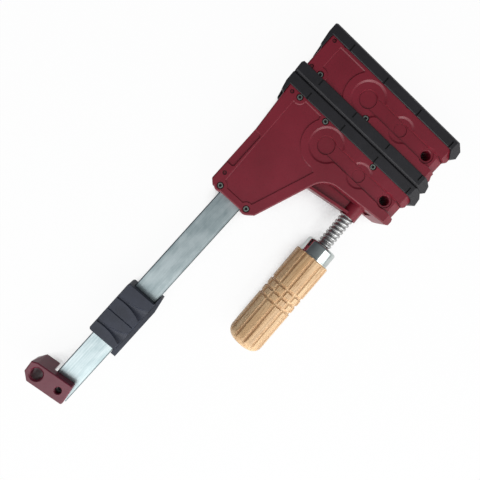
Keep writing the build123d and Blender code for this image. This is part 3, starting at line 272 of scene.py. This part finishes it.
def steel(name, colour, rough, grain=0.15):
    """Bare or blackened steel, with painted shade in its corners."""
    material, tree, shader = new_material(name)
    point = object_point(tree)
    mottled = ramp(tree, noise(tree, point, per_metre=120), (0.30, shade(colour, 0.8)), (0.70, colour))
    # Painted shade: darker in corners and recesses.
    final_colour = with_painted_shade(tree, mottled, shade_colour=(0.35, 0.34, 0.33), dark_at=0.45, unshaded_at=0.85)
    wear = noise(tree, point, per_metre=700, detail=2)
    roughness = map_range(tree, wear, to_range=(0.8 * rough, 1.2 * rough))
    set_inputs(shader, Metallic=1.0)
    link_inputs(tree, shader, Base_Color=final_colour, Roughness=roughness)
    bump(tree, shader, noise(tree, point, per_metre=2500, detail=2), strength=grain, depth=0.05 * MM)
    return material


def socket_screw():
    """Blackened cap screw: the top face of its head round the socket is bright bare metal, the socket and the
    sides of its head are near black.
    """
    material, tree, shader = new_material("socket_screw")
    point = object_point(tree)
    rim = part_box("moving_jaw_screws")[1].z - SCREW_TOP_DEPTH
    # Bright bare metal above this height on the head's top face, near black below it
    top_face = calculated(tree, "GREATER_THAN", coordinate(tree, point, "Z"), rim)
    colour = ramp(tree, top_face, (0.0, (0.012, 0.012, 0.012)), (1.0, (0.42, 0.47, 0.42)))
    marks = ramp(tree, noise(tree, point, per_metre=1500), (0.40, (0.45, 0.45, 0.45)), (0.60, WHITE))
    final_colour = tinted(tree, colour, marks)
    roughness = map_range(tree, noise(tree, point, per_metre=900, detail=2), to_range=(0.25, 0.45))
    link_inputs(tree, shader, Base_Color=final_colour, Metallic=top_face, Roughness=roughness)
    return material


def beech():
    """Varnished beech: long fibres, short dark flecks, a slow change of tone and painted shade in its flutes
    and grooves.
    """
    material, tree, shader = new_material("beech")
    lean = (0, 0, atan2(SPINDLE_AXIS.x, SPINDLE_AXIS.y))
    fibre = noise(tree, object_point(tree, stretch=(420, 16, 420), turn=lean), detail=5, rough=0.6)
    flecks = noise(tree, object_point(tree, stretch=(900, 110, 900), turn=lean), detail=2)
    tone = noise(tree, object_point(tree, stretch=(60, 8, 60), turn=lean))
    base = ramp(tree, tone, (0.32, (0.76, 0.475, 0.240)), (0.68, (0.88, 0.645, 0.390)))
    lines = ramp(tree, fibre, (0.36, (0.66, 0.58, 0.50)), (0.54, WHITE))
    dots = ramp(tree, flecks, (0.30, (0.62, 0.52, 0.44)), (0.40, WHITE))
    grain = tinted(tree, tinted(tree, base, lines, share=0.8), dots, share=0.7)
    # Painted shade: darker in the flutes and grooves.
    final_colour = with_painted_shade(tree, grain, shade_colour=(0.62, 0.39, 0.22), reach=3.0 * MM, dark_at=0.60, unshaded_at=0.90)
    link_inputs(tree, shader, Base_Color=final_colour, Roughness=map_range(tree, fibre, to_range=(0.36, 0.50)))
    bump(tree, shader, fibre, strength=0.25, depth=0.2 * MM)
    return material


def paint(material, *names):
    """Gives nodes a material."""
    for name in names:
        slots = NODES[name].data.materials
        slots.clear()
        slots.append(material)


def paint_nodes():
    """Gives every node its material."""
    paint(red_casting("red_casting", dark=(0.170, 0.009, 0.020), light=(0.205, 0.012, 0.026)),
          "fixed_jaw_front", "fixed_jaw_rear", "moving_jaw_front", "moving_jaw_rear", "arm")
    paint(red_casting("stop_casting", dark=(0.124, 0.010, 0.026), light=(0.152, 0.014, 0.034)), "end_stop")
    paint(moulded("black_pad", colour=(0.012, 0.011, 0.014), rough=0.45),
          "outer_pad", "fixed_pad", "moving_pad")
    paint(moulded("black_plastic", colour=(0.026, 0.031, 0.050), rough=0.54),
          "saddle_upper", "saddle_lower")
    paint(zinc_bar(), "bar")
    paint(steel("pin_steel", colour=(0.55, 0.55, 0.57), rough=0.25),
          "fixed_jaw_pins", "bearing_pins", "thrust_disc", "retaining_plate", "brake_pins")
    paint(steel("spring_steel", colour=(0.07, 0.06, 0.06), rough=0.45), "end_stop_pin")
    paint(steel("spindle_steel", colour=(0.56, 0.56, 0.55), rough=0.36), "spindle")
    paint(steel("ferrule_steel", colour=(0.62, 0.67, 0.65), rough=0.08, grain=0.03), "ferrule")
    paint(socket_screw(), "fixed_jaw_screws", "moving_jaw_screws")
    paint(beech(), "handle")


# Threaded spindle, with heights along it from its joint's place, up towards the jaws

HEAD_TOP = -1.25 * MM
HEAD_BASE = -5.25 * MM
HEAD_RADIUS = 6.0 * MM
HEAD_CHAMFER = 0.5 * MM
NECK_RADIUS = 4.4 * MM
THREAD_PITCH = 4.3 * MM
THREAD_RADIUS = 7.0 * MM
THREAD_ROOT = 5.7 * MM          # radius at the bottom of its groove
THREAD_TOP = -10.4 * MM
THREAD_FOOT = -63.7 * MM
THREAD_RUN_OUT = 1.5 * MM       # the ridge rises over this length from the thread's top
THREAD_END_GAP = 0.05 * MM      # the thread's points stay this far from its two end rings
SHOULDER_RADIUS = 6.9 * MM
TANG_RADIUS = 5.0 * MM
TANG_TOP = -65.7 * MM
TANG_FOOT = -145.7 * MM
AROUND = 64                     # steps round the spindle

# Each pair is a radius and a height, from the top down
HEAD_PROFILE = ((HEAD_RADIUS - HEAD_CHAMFER, HEAD_TOP), (HEAD_RADIUS, HEAD_TOP - HEAD_CHAMFER),
                (HEAD_RADIUS, HEAD_BASE), (NECK_RADIUS, HEAD_BASE), (NECK_RADIUS, THREAD_TOP),
                (THREAD_ROOT, THREAD_TOP))
TANG_PROFILE = ((SHOULDER_RADIUS, THREAD_FOOT), (TANG_RADIUS, TANG_TOP), (TANG_RADIUS, TANG_FOOT))

# One turn of the thread, down its crest, flank, root and next flank: shares of its pitch and of its height
THREAD_FORM = ((0.00, 1), (0.38, 1), (0.48, 0.85), (0.62, 0.1), (0.68, 0), (0.80, 0), (0.86, 0.1),
               (0.96, 0.85))


def spindle_point(radius, step, height):
    """Point about the spindle's axis, a number of steps round it."""
    angle = -2 * pi * step / AROUND
    across = Vector((SPINDLE_AXIS.y, -SPINDLE_AXIS.x, 0))
    side = radius * (sin(angle) * across + cos(angle) * Vector((0, 0, 1)))
    return SPINDLE_ORIGIN + side + height * SPINDLE_AXIS


def add_rings(points, profile):
    """Adds a ring of points for each pair of a profile, and returns their numbers."""
    rings = []
    for radius, height in profile:
        rings.append(list(range(len(points), len(points) + AROUND)))
        points.extend(spindle_point(radius, step, height) for step in range(AROUND))
    return rings


def add_thread_column(points, step):
    """Adds the thread's points on one side of the spindle, and returns them by their place on the helix."""
    column = {}
    turns = int((THREAD_TOP - THREAD_FOOT) / THREAD_PITCH) + 2
    for place in range(turns * len(THREAD_FORM)):
        turn, corner = divmod(place, len(THREAD_FORM))
        share, rise = THREAD_FORM[corner]
        height = THREAD_TOP - THREAD_PITCH * (turn - 1 + share + step / AROUND)
        if THREAD_FOOT + THREAD_END_GAP < height < THREAD_TOP - THREAD_END_GAP:
            rise *= min(1.0, (THREAD_TOP - height) / THREAD_RUN_OUT)
            column[place] = len(points)
            points.append(spindle_point(THREAD_ROOT + rise * (THREAD_RADIUS - THREAD_ROOT), step, height))
    return column


def thread_strip(left, right, upper, lower):
    """Faces between two neighbouring columns, from the end ring above them to the one below."""
    shared = sorted(left.keys() & right.keys())
    faces = [(left[a], right[a], right[b], left[b]) for a, b in zip(shared, shared[1:])]
    left_above = [left[place] for place in sorted(left, reverse=True) if place <= shared[0]]
    right_above = [right[place] for place in sorted(right) if place <= shared[0]]
    faces.append((*upper, *right_above, *left_above))
    left_below = [left[place] for place in sorted(left, reverse=True) if place >= shared[-1]]
    right_below = [right[place] for place in sorted(right) if place >= shared[-1]]
    faces.append((*right_below, *reversed(lower), *left_below))
    return faces


def add_spindle():
    """Spindle with its head, trapezoidal thread and tang as one closed mesh, in place of the plain one."""
    points = []
    head = add_rings(points, HEAD_PROFILE)
    tang = add_rings(points, TANG_PROFILE)
    columns = [add_thread_column(points, step) for step in range(AROUND)]
    columns.append({place - len(THREAD_FORM): number for place, number in columns[0].items()})
    faces = [tuple(reversed(head[0])), tuple(tang[-1])]
    for step in range(AROUND):
        after = (step + 1) % AROUND
        for rings in (head, tang):
            for upper, lower in zip(rings, rings[1:]):
                faces.append((upper[step], upper[after], lower[after], lower[step]))
        faces += thread_strip(columns[step], columns[step + 1], (head[-1][step], head[-1][after]),
                              (tang[0][step], tang[0][after]))
    smooth = [len(face) < AROUND for face in faces]     # all but the discs at its two ends
    mesh = bpy.data.meshes.new("threaded_spindle")
    mesh.from_pydata(points, [], faces)
    mesh.validate()
    mesh.polygons.foreach_set("use_smooth", smooth)
    mesh.update()
    mesh.materials.append(NODES["spindle"].data.materials[0])
    piece = add_object("threaded_spindle", mesh)
    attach(piece, "spindle")
    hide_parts("spindle")


# Camera, floor and light

IMAGE_PIXELS = 480
FOCAL_PIXELS = 450              # the lens that the photograph's perspective gives
SENSOR_WIDTH = 36               # in millimetres, as the lens is
NEAREST = 0.01                  # the camera shows nothing nearer than this
BAR_BELOW_JAW = 246.5 * MM      # bar's free end, below the moving jaw's foot
EYE = Vector((-3.490, 0.016, 417.017)) * MM     # the camera, from the bar's face at the moving jaw's foot
EYE_TURN = (-5.3246, -1.6486, 42.3402)          # in degrees
FLOOR_REACH = 6.0               # from the middle of the clamp to the floor's sides
FLOOR_GREY = 0.93               # the floor's own colour, which keeps the shadow
FLOOR_ROUGHNESS = 0.9
FLOOR_WHITE = 0.95              # share of the floor's look that is plain white in the open
MIRRORED_WHITE = 0.5            # how much of that white a polished surface shows
PAINTED_SHADOW_REACH = 0.08             # painted shadow: how near the floor something has to be for the floor's white to fade out
PAINTED_SHADOW_RANGE = (0.27, 0.44)     # painted shadow: the floor's openness where its white starts, and where it is full
WALL_DARK = (0.04, 0.04, 0.05)
WALL_MIDDLE = (0.26, 0.275, 0.29)
WALL_WINDOW = (0.77, 0.79, 0.81)
WINDOW_SIDE = (0.74, -0.67, 0.0)
BACKDROP_RANGE = (0.04, 0.20)   # rise of a mirrored direction over which the white backdrop fades out


def add_camera():
    """Camera at the photograph's place, over the moving jaw's foot and turned so that the bar leans."""
    data = bpy.data.cameras.new("camera")
    data.sensor_width = SENSOR_WIDTH
    data.lens = FOCAL_PIXELS * SENSOR_WIDTH / IMAGE_PIXELS
    data.clip_start = NEAREST
    camera = add_object("camera", data)
    jaw_foot = Vector(((BAR_LOW.x + BAR_HIGH.x) / 2, BAR_LOW.y + BAR_BELOW_JAW, BAR_HIGH.z))
    turn = Euler([radians(angle) for angle in EYE_TURN])
    camera.matrix_world = Matrix.LocRotScale(jaw_foot + EYE, turn, None)
    bpy.context.scene.camera = camera


def seen_directly(tree, mirrored):
    """1 for what the camera sees, also through glass, and a share of it for what a mirror shows."""
    path = add(tree, "ShaderNodeLightPath")
    value = calculated(tree, "MULTIPLY", path.outputs["Is Glossy Ray"], mirrored)
    for name in ("Is Camera Ray", "Is Transmission Ray"):
        value = calculated(tree, "MAXIMUM", value, path.outputs[name])
    return value


def add_floor():
    """White floor that shows plain white to the camera in the open; near the object a painted shadow fades
    that white out, so that the floor's real lit colour, with the object's shadow, shows there.
    """
    corners = [(-FLOOR_REACH, -FLOOR_REACH, 0), (FLOOR_REACH, -FLOOR_REACH, 0),
               (FLOOR_REACH, FLOOR_REACH, 0), (-FLOOR_REACH, FLOOR_REACH, 0)]
    mesh = bpy.data.meshes.new("floor")
    mesh.from_pydata(corners, [], [(0, 1, 2, 3)])
    material, tree, shader = new_material("floor")
    set_inputs(shader, Base_Color=(FLOOR_GREY, FLOOR_GREY, FLOOR_GREY, 1), Roughness=FLOOR_ROUGHNESS)
    white = add(tree, "ShaderNodeEmission")
    # Painted shadow: the floor's openness near the object fades out its plain white.
    openness = room(tree, PAINTED_SHADOW_REACH)
    open_floor = map_range(tree, openness, to_range=(0.0, FLOOR_WHITE), from_range=PAINTED_SHADOW_RANGE)
    share = calculated(tree, "MULTIPLY", seen_directly(tree, MIRRORED_WHITE), open_floor)
    surface = shader_mix(tree, share, shader.outputs[0], white.outputs[0])
    link_inputs(tree, tree.nodes["Material Output"], Surface=surface)
    mesh.materials.append(material)
    add_object("floor", mesh)


def add_world():
    """Soft studio surroundings, lighter towards the window and plain white to the camera."""
    world = bpy.data.worlds.new("studio")
    bpy.context.scene.world = world
    world.use_nodes = True
    tree = world.node_tree
    direction = add(tree, "ShaderNodeTexCoord").outputs["Generated"]
    towards_window = add(tree, "ShaderNodeVectorMath", operation="DOT_PRODUCT")
    tree.links.new(direction, towards_window.inputs[0])
    towards_window.inputs[1].default_value = WINDOW_SIDE
    side = map_range(tree, towards_window.outputs["Value"], to_range=(0.0, 1.0), from_range=(-1.0, 1.0))
    walls = tree.nodes["Background"]
    link_inputs(tree, walls, Color=ramp(tree, side, (0.0, WALL_DARK), (0.5, WALL_MIDDLE), (1.0, WALL_WINDOW)))
    white = add(tree, "ShaderNodeBackground")
    set_inputs(white, Color=(*WHITE, 1))
    rise = coordinate(tree, direction, "Z")
    backdrop = map_range(tree, rise, to_range=(MIRRORED_WHITE, 0.0), from_range=BACKDROP_RANGE)
    surface = shader_mix(tree, seen_directly(tree, backdrop), walls.outputs[0], white.outputs[0])
    link_inputs(tree, tree.nodes["World Output"], Surface=surface)


def add_light(name, place, size, watts):
    """Area light that looks at the frame's origin, which is under the middle of the clamp."""
    data = bpy.data.lights.new(name, "AREA")
    data.shape = "RECTANGLE"
    data.size, data.size_y = size
    data.energy = watts
    lamp = add_object(name, data)
    lamp.location = place
    lamp.rotation_euler = (-Vector(place)).to_track_quat("-Z", "Y").to_euler()


paint_nodes()
add_spindle()
add_camera()
add_floor()
add_world()
add_light("window", place=(0.76, -0.69, 0.55), size=(2.5, 1.0), watts=10)
add_light("sky", place=(0.0, -1.03, 1.23), size=(1.2, 0.9), watts=6.5)
add_light("side", place=(0.90, -0.15, 1.20), size=(0.9, 0.9), watts=6)
bpy.context.scene.view_settings.view_transform = "Standard"
